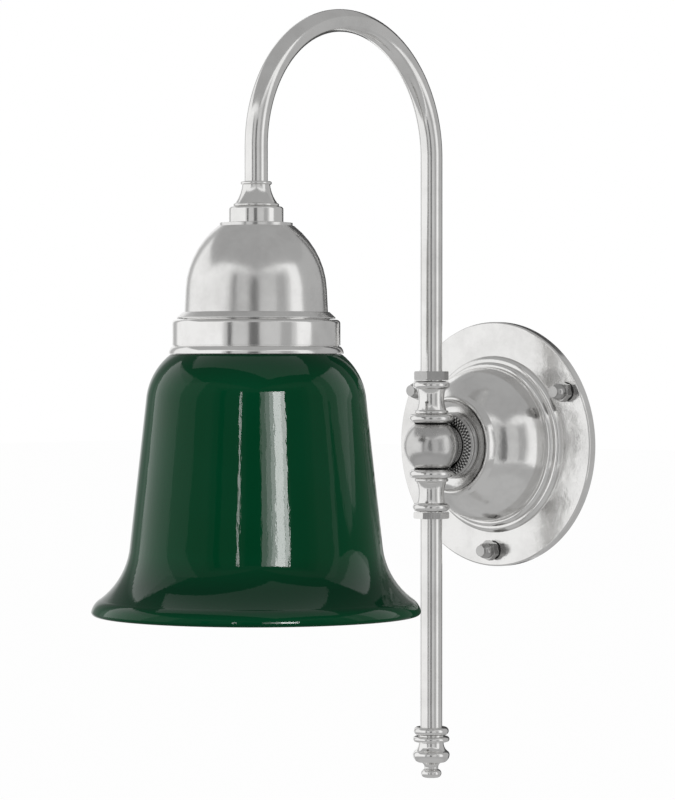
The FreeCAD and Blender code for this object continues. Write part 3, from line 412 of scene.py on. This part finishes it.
def dress(piece, body, slot, material, *nodes):
    """Ride a finished piece on its body, give it its material and hide the solids it stands
    for; the slot name is not used.
    """
    piece.data.materials.clear()
    piece.data.materials.append(material)
    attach(piece, body)
    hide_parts(*nodes)


def nickel_piece(piece, body, *nodes, material=None):
    """A polished piece."""
    dress(piece, body, "polished_nickel", material or NICKEL, *nodes)


# ---------------------------------------------------------------- on the wall

def canopy():
    """The spun cover: flange, double step, bowl, cusp and scooped seat."""
    cover = turned("canopy_cover", WALL, [
        line(67.3, 0), line(68.5, 0), line(68.5, 4.2), arc(67.5, 5.2, 1), line(49.5, 5.2),
        arc(46.7, 8, 2.8), line(45.9, 8), bow(42.8, 10.6, 1.4), bow(28, 37, 4.4),
        bow(26.5, 42.4, -0.4), line(25.5, 42.4), bow(19.5, 39.4, -0.8), line(NIPPLE_FIT, 39.4),
        line(NIPPLE_FIT, 38.2), line(25.5, 38.2), line(26.8, 35.8), bow(41.6, 9.4, -4.4),
        line(45.9, 6.8), line(46.7, 6.8), line(46.7, 4), line(67.3, 4)], rounds=192)
    nickel_piece(cover, "wall_mount", "canopy", material=NICKEL_WALL)


def moved_copy(piece, name, step):
    """A copy with a mesh of its own, moved by so many millimetres."""
    copy = piece.copy()
    copy.data = piece.data.copy()
    copy.name = name
    bpy.context.scene.collection.objects.link(copy)
    pick(copy)
    copy.location = Vector(step) * MM
    bpy.ops.object.transform_apply(location=True, rotation=False, scale=False)
    return copy


def joined(pieces, name):
    """Several pieces as one."""
    bpy.ops.object.select_all(action="DESELECT")
    for piece in pieces:
        piece.select_set(True)
    bpy.context.view_layer.objects.active = pieces[0]
    bpy.ops.object.join()
    pieces[0].name = name
    return pieces[0]


def cap_nuts():
    """Three domed nuts on dark washers, round the flange."""
    blank = turned("cap_nut", WALL, [
        line(3.05, 6), line(5.27, 6), line(5.77, 6.5), line(5.77, 9.9), line(5.27, 10.4),
        line(4.4, 10.4), line(4.4, 12), arc(0, 16.4, 4.4), line(0, 13.2), line(3.05, 13.2)],
        rounds=72, edge=0)
    hexagon_cut(blank, WALL, 10, 5.5, 17, 12)
    soften(blank, 0.12)
    washer = turned("nut_washer", WALL, [
        line(3.05, 5.2), line(5.3, 5.2), line(5.3, 6), line(3.05, 6)], rounds=64, edge=0.1)
    nuts, washers = [], []
    for degrees in CAP_NUT_ANGLES:
        angle = math.radians(degrees)
        step = (CAP_NUT_CIRCLE * math.cos(angle), 0, CAP_NUT_CIRCLE * math.sin(angle))
        nuts.append(moved_copy(blank, "cap_nut_copy", step))
        washers.append(moved_copy(washer, "nut_washer_copy", step))
    bpy.data.objects.remove(blank)
    bpy.data.objects.remove(washer)
    # the cap nuts are in the darker nickel, which is painted shade
    nickel_piece(joined(nuts, "cap_nuts"), "wall_mount", "canopy_cap_nuts",
                 material=NICKEL_PAINTED_SHADE)
    dress(joined(washers, "nut_washers"), "wall_mount", "dark_fibre", FIBRE,
          "canopy_nut_washers")


def knurled_ring():
    """The ring behind the ball: two beads and a low conical face with rows of small knobs."""
    rounds = 96                                # the knobs of a row, and the gaps between
    inner, outer, back = 12.75, 16.7, 44.6     # what the knobs cover of the cone
    first_row, row_width = 13.4, 1.35
    smallest = 0.5 * MM * MM                   # the bead's narrow faces are smaller
    knob_edge, knob_height = 0.3, 0.34
    ring = turned("knurled_lock_ring", WALL, [
        line(NIPPLE_FIT, 39.6), *bead(18.4, 39.6, 42.4), *bead(17.9, 42.4, 44.6),
        line(15.4, 44.97),
        line(14.05, 45.34), line(12.7, 45.7), line(12.2, 45.7), line(12.2, 43.4),
        line(NIPPLE_FIT, 43.4)], rounds=rounds, edge=0)
    knobs, grooves = [], []
    for face in ring.data.polygons:
        out = math.hypot(face.center.x, face.center.z) / MM
        on_cone = inner < out < outer and -face.center.y / MM > back
        grooves.append(on_cone and face.area > smallest)
        row = round((out - first_row) / row_width)
        turn = math.atan2(face.center.z, face.center.x) / (2 * math.pi)
        column = math.floor(turn * rounds)
        knobs.append(grooves[-1] and (column + row) % 2 == 0)
    bpy.ops.object.mode_set(mode="EDIT")
    bpy.ops.mesh.select_all(action="DESELECT")
    bpy.ops.mesh.select_mode(type="FACE")
    bpy.ops.object.mode_set(mode="OBJECT")
    ring.data.polygons.foreach_set("select", knobs)
    bpy.ops.object.mode_set(mode="EDIT")
    bpy.ops.mesh.inset(thickness=knob_edge * MM, depth=knob_height * MM,
                       use_individual=True)
    bpy.ops.mesh.select_mode(type="VERT")
    bpy.ops.object.mode_set(mode="OBJECT")
    soften(ring, 0)
    # the ring's body is in the darker nickel and its grooves are near black, both painted
    # shade; the knobs are plain polished nickel
    nickel_piece(ring, "lock_ring", "knurled_ring", material=NICKEL_PAINTED_SHADE)
    for finish in (NICKEL_GROOVE_SHADE, NICKEL):
        ring.data.materials.append(finish)
    for face, groove, knob in zip(ring.data.polygons, grooves, knobs):
        face.material_index = (2 if knob else 1) if groove else 0


def ball():
    """The ball with its flats and the boss behind it."""
    flat = math.sqrt(BALL_RADIUS ** 2 - BALL_FLAT ** 2)
    body = turned("swivel_ball_body", STEM, [
        line(5, -BALL_FLAT), line(flat, -BALL_FLAT), arc(flat, BALL_FLAT, BALL_RADIUS),
        line(5, BALL_FLAT)],
        rounds=128, edge=0.2, arc_step=3)
    boss = turned("ball_boss", WALL, [
        line(NIPPLE_FIT, 43.6), line(11.7, 43.6), line(11.7, 49.9), line(NIPPLE_FIT, 49.9)],
        rounds=96, edge=0.2)
    nickel_piece(joined([body, boss], "swivel_ball"), "ball", "swivel_ball",
                 material=NICKEL_BALL)


# ---------------------------------------------------------------- the upright stem

def mirrored(steps):
    """The same outline upside down, drawn the other way round."""
    turned_over = []
    for place in range(len(steps)):
        radius, height = steps[-1 - place][:2]
        word, amount = steps[-place][2:] if place else (None, 0)
        turned_over.append((radius, -height, word, amount))
    return turned_over


def collar(name, way, node):
    """A turned collar: a large bead, a small one, a waist and an end bead."""
    steps = [
        line(5, 12.9), *bead(12.2, 12.9, 17.5), *bead(9.4, 17.5, 19.7),
        bow(7.95, 31.3, -1.1), *bead(10.2, 31.3, 35.8)[1:], line(TUBE_FIT, 35.8),
        line(TUBE_FIT, 20), line(5, 20)]
    if way < 0:
        steps = mirrored(steps)
    nickel_piece(turned(name, STEM, steps, edge=0.12), "arm", node)


def lock_nut(name, low, high, corner_at, body, node, material):
    """A hexagon nut with chamfered corners."""
    corner = corner_radius(LOCK_NUT_FLATS)
    nut = turned(name, STEM, [
        line(TUBE_FIT, low), line(corner - 0.5, low), line(corner, low + 0.5),
        line(corner, high - 0.5), line(corner - 0.5, high), line(TUBE_FIT, high)],
        rounds=96, edge=0)
    hexagon_cut(nut, STEM, LOCK_NUT_FLATS, low - 1, high + 1, corner_at)
    soften(nut, 0.1)
    nickel_piece(nut, body, node, material=material)


def foot():
    """The straight tube below, its end cap and the finial."""
    bore = TUBE_RADIUS - TUBE_WALL
    tube = turned("straight_tube", STEM, [
        line(bore, -154.4), line(TUBE_RADIUS, -154.4), line(TUBE_RADIUS, -20),
        line(bore, -20)], rounds=96, edge=0)
    nickel_piece(tube, "arm", "lower_tube")
    cap = turned("tube_end_cap", STEM, [
        line(2.55, -158.8), *bead(9.6, -158.8, -154.4), line(4.95, -154.4),
        line(4.95, -140.4), line(2.55, -140.4)], rounds=112)
    nickel_piece(cap, "arm", "tube_end_cap")
    finial = turned("turned_finial", STEM, [
        line(0, -182.3), *bead(5.6, -182.3, -177.7), line(3.8, -177.7), line(3.8, -176.7),
        arc(6.8, -173.7, -3), line(7.6, -173.7), bow(10.1, -169.8, 0.6),
        bow(8.9, -167.7, 0.35), bow(6.8, -163.7, -0.45), line(6.8, -162.6),
        *bead(10, -162.6, -159.6), line(7, -159.6), line(7, -158.8), line(2.5, -158.8),
        line(2.5, -146.8), line(0, -146.8)], rounds=112)
    nickel_piece(finial, "arm", "finial")


def gooseneck():
    """The bent tube."""
    tube = bent_tube("gooseneck_tube_bent", STEM, low=20, spring=SPRING_HEIGHT, reach=REACH,
                     end=TUBE_END, radius=TUBE_RADIUS, wall=TUBE_WALL)
    nickel_piece(tube, "arm", "gooseneck_tube")


# ---------------------------------------------------------------- the shade and its carrier

def carrier():
    """The flared ferrule, the coupling, the dome and the wide band."""
    cone = turned("neck_ferrule", SHADE, [
        line(TUBE_FIT, TUBE_END), *bead(11.9, TUBE_END, 128.3), bow(7.2, 137.9, -0.7),
        *bead(8.1, 137.9, 139.7)[1:], line(TUBE_FIT, 139.7)], edge=0.1)
    nickel_piece(cone, "arm", "neck_cone")
    coupling = turned("neck_coupling", SHADE, [
        line(5, 118.2), line(13.6, 118.2), arc(14.1, 118.7, 0.5), line(14.1, 125.2),
        arc(12.7, TUBE_END, 1.4), line(5, TUBE_END)])
    nickel_piece(coupling, "arm", "coupling_ring")
    dome = turned("shade_cover_dome", SHADE, [
        line(36.2, 68.7), line(41.1, 68.7), line(41.1, 69.2), line(38, 72), line(37.2, 72),
        line(36.6, 84), bow(19.7, 116.6, 4), line(18.9, 116.6), line(18.9, 118.2),
        line(5, 118.2), line(5, 117.2), line(17.9, 117.2), line(17.9, 115.6),
        bow(35.6, 84, -4)], rounds=160)
    nickel_piece(dome, "arm", "shade_dome", material=NICKEL_DOME)
    band = turned("shade_band", SHADE, [
        line(42.6, 50.5), line(45.3, 50.5), bow(43.6, 54.2, 0.5), line(43, 54.2),
        line(43, 54.8), line(43.6, 54.8), line(43.6, 66), arc(41.6, 68, 2), line(38, 68),
        line(38, 68.7), line(20.3, 68.7), line(20.3, 67), line(42.6, 67)], rounds=160)
    nickel_piece(band, "arm", "shade_collar")


def glass_bell():
    """The shade: green outside, white inside."""
    bell = turned("glass_bell", SHADE, [
        arc(83.5, -84.9, 2), arc(85.5, -82.9, 2), bow(80.5, -76.2, 0.9),
        bow(65.4, -48.3, -3.4), line(57.1, 26.2), bow(44.3, 50.3, 2.9), line(41.3, 50.3),
        line(41.3, 62.5), arc(38.3, 65.5, 3), line(21, 65.5), line(21, 61.5),
        line(37.3, 61.5), line(37.3, 46.3), line(40.3, 46.3), bow(53.1, 26.2, -2.9),
        line(61.4, -48.3), bow(76.5, -76.2, 3.4), bow(81.5, -82.9, -0.9)],
        rounds=192, edge=0.6, arc_step=5)
    dress(bell, "arm", "cased_green_glass", GREEN_GLASS, "glass_shade")
    bell.data.materials.append(WHITE_LINING)
    for face in bell.data.polygons:
        out = Vector((face.center.x, face.center.y - SHADE.foot.y, 0))
        inwards = face.normal.dot(out.normalized()) < -0.05
        ceiling = face.normal.z < -0.9 and out.length < 60 * MM
        face.material_index = 1 if inwards or ceiling else 0


def inside_the_bell():
    """The clamping ring and the bulb."""
    ring = turned("glass_clamping_ring", SHADE, [
        line(19.85, 52.3), line(23.5, 52.3), line(23.5, 58.9), *bead(29, 58.9, 61.3),
        line(19.85, 61.3)], rounds=128)
    dress(ring, "shade_ring", "plain_brass", BRASS, "shade_ring")
    taper = math.sqrt(30 ** 2 - 17.2 ** 2)
    bulb = turned("bulb_glass_body", SHADE, [
        line(0, -34.3), arc(30, -4.3, 30), arc(taper, 12.9, 30), bow(14.2, 45.5, -1.5),
        line(14.2, 51.5), line(0, 51.5)], rounds=96, edge=0, arc_step=4)
    dress(bulb, "bulb", "opal_bulb_glass", BULB_GLASS, "bulb_glass")


KEPT_SOLIDS = (
    (ZINC, (
        "wall_plate", "plate_studs", "nipple_washer", "nipple_nut", "dome_nut",
        "lampholder_screws")),
    (BRASS, (
        "back_nipple", "swivel_stem", "drop_nipple", "lampholder_cap", "lampholder_sleeve",
        "screw_shell", "centre_contact", "side_contact", "terminal_inserts",
        "terminal_screws", "earth_screw")),
    (FIBRE, ("swivel_washers", "shade_gasket")),
    (CERAMIC, ("lampholder_insert",)),
    (PLASTIC, ("terminal_block",)),
    (SHEATH, ("canopy_lead", "neck_lead")),
    (CAP_METAL, ("bulb_cap", "bulb_contact")),
)


def kept_solids():
    """The solids that stay as they are, each with its own finish."""
    for material, names in KEPT_SOLIDS:
        for name in names:
            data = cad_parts[name].data
            data.materials.clear()
            data.materials.append(material)


def quiet_polish():
    """Keep the glass and what it holds out of the nickel's reflections, which stay grey."""
    made = ("glass_bell", "bulb_glass_body", "glass_clamping_ring")
    kept = ("lampholder_cap", "lampholder_sleeve", "screw_shell", "lampholder_insert",
            "bulb_cap")
    for piece in [bpy.data.objects[name] for name in made] + [
            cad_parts[name] for name in kept]:
        piece.visible_glossy = False


# ---------------------------------------------------------------- the studio

AZIMUTH = math.radians(42)   # of the camera, right of the wall's normal
CAMERA_DISTANCE = 1.84       # from the stem
CAMERA_SHIFT = 0.05157       # how far left of the stem it stands
CAMERA_RISE = 0.0472         # how far above the middle of the ball
CAMERA_DIP = 0.02196         # how much lower it aims, at the stem
VIEW_DEPTH = 400             # how far it sees
PICTURE_WIDTH = 675
LENS_IN_PIXELS = 3350
SENSOR_WIDTH = 36
TOWARDS = Vector((math.sin(AZIMUTH), -math.cos(AZIMUTH), 0))
ASIDE = Vector((math.cos(AZIMUTH), math.sin(AZIMUTH), 0))
FLOOR_SIZE = 240
FLOOR_HEIGHT = -4
FLOOR_WHITENESS = 0.975      # how much of the floor is plain white to look at
ROOM_LIGHT = 0.6             # how strongly the white room lights the lamp


def camera():
    """A long lens, right of the wall's normal and a little above the ball."""
    data = bpy.data.cameras.new("camera")
    data.sensor_fit = "HORIZONTAL"
    data.sensor_width = SENSOR_WIDTH
    data.lens = LENS_IN_PIXELS / PICTURE_WIDTH * SENSOR_WIDTH
    data.clip_end = VIEW_DEPTH
    eye = bpy.data.objects.new("camera", data)
    bpy.context.scene.collection.objects.link(eye)
    off_stem = TOWARDS * CAMERA_DISTANCE - ASIDE * CAMERA_SHIFT
    eye.location = STEM.foot + off_stem + Vector((0, 0, CAMERA_RISE))
    look = -TOWARDS * CAMERA_DISTANCE - Vector((0, 0, CAMERA_DIP))
    eye.rotation_euler = look.to_track_quat("-Z", "Y").to_euler()
    bpy.context.scene.camera = eye


def around(degrees, distance, rise=0.0):
    """A point round the shade, so many degrees right of the camera and so many up."""
    angle = AZIMUTH + math.radians(degrees)
    away = Vector((math.sin(angle), -math.cos(angle), math.tan(math.radians(rise))))
    return SHADE.foot + away * distance


def tall(low, high, distance):
    """How tall a sheet is that fills the view from a low angle to a high one."""
    return (math.tan(math.radians(high)) - math.tan(math.radians(low))) * distance


def glow(name, brightness):
    """A material that only shines."""
    paint = Paint(name)
    paint.set(base_color=(0, 0, 0, 1), roughness=1.0, specular_ior_level=0.0,
              emission_color=(brightness, brightness, brightness, 1), emission_strength=1.0)
    return paint


def seen_in_polish(sheet, paint):
    """Make a sheet part of the studio that only gloss and polish see."""
    sheet.data.materials.append(paint.material)
    for word in ("camera", "diffuse", "shadow", "transmission"):
        setattr(sheet, "visible_" + word, False)


def panel(name, left, right, low, high, brightness, distance, soft=0.0):
    """A curved panel round the lamp, from angle to angle, with ends as soft as is asked."""
    sheet = fresh(name)
    bpy.ops.transform.translate(value=around(left, distance, low))
    bpy.ops.mesh.extrude_vertices_move(
        TRANSFORM_OT_translate={"value": (0, 0, tall(low, high, distance))})
    bpy.ops.mesh.select_all(action="SELECT")
    bpy.ops.mesh.spin(steps=24, angle=-math.radians(right - left), center=SHADE.foot,
                      axis=(0, 0, 1))
    close_up()
    paint = glow(name, brightness)
    if soft:
        middle, half = (left + right) / 2, (right - left) / 2
        facing = around(middle, 1.0) - SHADE.foot
        here = paint.node("ShaderNodeTexCoord", output=3)
        out = paint.node("ShaderNodeVectorMath", {"operation": "SUBTRACT"},
                         [here, SHADE.foot])
        level = paint.node("ShaderNodeVectorMath", {"operation": "MULTIPLY"},
                           [out, (1, 1, 0)])
        straight = paint.node("ShaderNodeVectorMath", {"operation": "NORMALIZE"}, [level])
        near = paint.node("ShaderNodeVectorMath", {"operation": "DOT_PRODUCT"},
                          [straight, facing], output=1)
        cover = paint.spread(near, math.cos(math.radians(half)),
                             math.cos(math.radians(half - soft)))
        clear = paint.node("ShaderNodeBsdfTransparent")
        mix = paint.node("ShaderNodeMixShader", None, {0: cover, 1: clear})
        paint.links.new(paint.shader.outputs[0], mix.socket.node.inputs[2])
        paint.links.new(mix.socket, paint.nodes["Material Output"].inputs["Surface"])
    seen_in_polish(sheet, paint)


def lamp(name, degrees, rise, width, height, power, distance=1.8):
    """A soft lamp, so many degrees round from the camera and so many up."""
    data = bpy.data.lights.new(name, "AREA")
    data.shape = "RECTANGLE"
    data.size = width
    data.size_y = height
    data.energy = power
    source = bpy.data.objects.new(name, data)
    bpy.context.scene.collection.objects.link(source)
    source.location = around(degrees, distance, rise)
    away = source.location - SHADE.foot
    source.rotation_euler = away.to_track_quat("Z", "Y").to_euler()
    return source


def only_on(source, pieces):
    """Let a lamp show on these pieces alone, and only as a highlight."""
    source.visible_diffuse = False
    source.light_linking.receiver_collection = pieces


def glass_lamp(name, left, right, low, high, brightness, glass):
    """A lamp that puts a highlight on the glass, from angle to angle and height to height."""
    distance = 1.7
    width = 2 * math.tan(math.radians(right - left) / 2) * distance
    height = tall(low, high, distance)
    rise = math.degrees(math.atan(math.tan(math.radians(low)) + height / 2 / distance))
    source = lamp(name, (left + right) / 2, rise, width, height,
                  brightness * math.pi * width * height, distance)
    only_on(source, glass)


def path_share(nodes, links, *rays):
    """One where a ray is of one of these kinds."""
    path = nodes.new("ShaderNodeLightPath")
    share = path.outputs[rays[0]]
    for ray in rays[1:]:
        either = nodes.new("ShaderNodeMath")
        either.operation = "MAXIMUM"
        links.new(share, either.inputs[0])
        links.new(path.outputs[ray], either.inputs[1])
        share = either.outputs[0]
    return share


SEEING_RAYS = ("Is Camera Ray", "Is Glossy Ray", "Is Transmission Ray")


def pale_floor():
    """A wide floor far below, almost as white as the room."""
    bpy.ops.object.select_all(action="DESELECT")
    bpy.ops.mesh.primitive_plane_add(size=FLOOR_SIZE, location=(0, 0, FLOOR_HEIGHT))
    floor = bpy.context.object
    floor.name = "floor"
    paint = Paint("pale floor")
    paint.set(base_color=(0.9, 0.9, 0.9, 1), roughness=0.8, specular_ior_level=0.0)
    lit = path_share(paint.nodes, paint.links, *SEEING_RAYS)
    share = Value(paint, lit) * FLOOR_WHITENESS
    shining = paint.node("ShaderNodeEmission", None, {"Color": (1, 1, 1, 1), "Strength": 1.0})
    mix = paint.node("ShaderNodeMixShader", None, {0: share})
    paint.links.new(paint.shader.outputs[0], mix.socket.node.inputs[1])
    paint.links.new(shining.socket, mix.socket.node.inputs[2])
    paint.links.new(mix.socket, paint.nodes["Material Output"].inputs["Surface"])
    floor.data.materials.append(paint.material)


def white_room():
    """A world that is white to look at and lights the lamp a little less."""
    world = bpy.data.worlds.new("white room")
    bpy.context.scene.world = world
    world.use_nodes = True
    nodes, links = world.node_tree.nodes, world.node_tree.links
    nodes.clear()
    room = nodes.new("ShaderNodeBackground")
    room.inputs["Color"].default_value = (1, 1, 1, 1)
    room.inputs["Strength"].default_value = ROOM_LIGHT
    white = nodes.new("ShaderNodeBackground")
    white.inputs["Color"].default_value = (1, 1, 1, 1)
    white.inputs["Strength"].default_value = 1.0
    blend = nodes.new("ShaderNodeMixShader")
    links.new(path_share(nodes, links, *SEEING_RAYS), blend.inputs[0])
    links.new(room.outputs[0], blend.inputs[1])
    links.new(white.outputs[0], blend.inputs[2])
    out = nodes.new("ShaderNodeOutputWorld")
    links.new(blend.outputs[0], out.inputs["Surface"])


def reflected_panels():
    """What the polish mirrors: grey and dark panels all round, a grey ceiling and table.

    Each panel has its ends, its lower and its upper edge in degrees, its brightness, how far
    off it is, and over how many degrees its ends fade.
    """
    panel("grey_front", -46, 60, -22, 30, 0.62, 1.9, 4)
    panel("dark_left", -38, -31, -22, 26, 0.1, 1.85, 1.5)
    panel("dark_middle", -10, 7, -22, 24, 0.15, 1.85, 3)
    panel("grey_front_right", 33, 52, -22, 26, 0.42, 1.85, 3)
    panel("grey_right", 80, 140, -30, 45, 0.48, 1.9, 2)
    panel("dark_rear_right", 138, 186, -22, 45, 0.07, 1.85, 2)
    panel("dark_high_right", 112, 180, 40, 68, 0.25, 1.6)
    panel("grey_rear_left", -158, -134, -22, 40, 0.5, 1.9, 6)
    panel("grey_table", -180, 180, -70, -24, 0.45, 1.2)
    for name, height, grey in (("ceiling", 1.25, 0.42), ("table", -1.1, 0.5)):
        bpy.ops.object.select_all(action="DESELECT")
        bpy.ops.mesh.primitive_plane_add(size=3.2, location=(0, -0.2, height))
        sheet = bpy.context.object
        sheet.name = name
        seen_in_polish(sheet, glow("grey " + name, grey))


def lamps():
    """Two soft lamps that light the whole, and the lamps that the glass alone mirrors."""
    for name, degrees, rise, power in (("left_lamp", -65, 30, 22), ("right_lamp", 60, 20, 14)):
        lamp(name, degrees, rise, 1.2, 1.2, power).visible_glossy = False
    glass = bpy.data.collections.new("glass")
    glass.objects.link(bpy.data.objects["glass_bell"])
    strip, broad = (3, 24), (-4, 40)
    highlights = (
        # from and to in degrees, the heights, the brightness
        (6, 11, strip, 12), (11, 15, strip, 24), (15, 19, strip, 45),
        (19, 27, strip, 105), (27, 31, strip, 75), (-15.2, -13.4, strip, 45),
        (-132, -62, broad, 1.2), (-132, -84, broad, 1.5),
        (74, 122, broad, 1.5), (92, 122, broad, 1.9))
    for place, (left, right, heights, brightness) in enumerate(highlights):
        glass_lamp("glass_lamp_%d" % place, left, right, *heights, brightness, glass)
    width, depth, brightness = 2, 1.2, 2.2
    above = lamp("lamp_above", 0, 0, width, depth, brightness * math.pi * width * depth)
    above.location = SHADE.foot + Vector((0, 0, 1.2))
    above.rotation_euler = (0, 0, 0)
    only_on(above, glass)


canopy()
cap_nuts()
knurled_ring()
ball()
collar("upper_turned_collar", 1, "upper_collar")
collar("lower_turned_collar", -1, "lower_collar")
# the upper nut is in the darker nickel as painted shade; the lower nut is plain polished
# nickel
lock_nut("upper_hexagon_nut", 36.2, 41, 26.5, "lock_nut", "upper_lock_nut", NICKEL_PAINTED_SHADE)
lock_nut("lower_hexagon_nut", -39.9, -36.2, 12, "arm", "lower_lock_nut", NICKEL)
foot()
gooseneck()
carrier()
glass_bell()
inside_the_bell()
kept_solids()
quiet_polish()
camera()
pale_floor()
white_room()
reflected_panels()
lamps()

bpy.context.scene.view_settings.view_transform = "Standard"
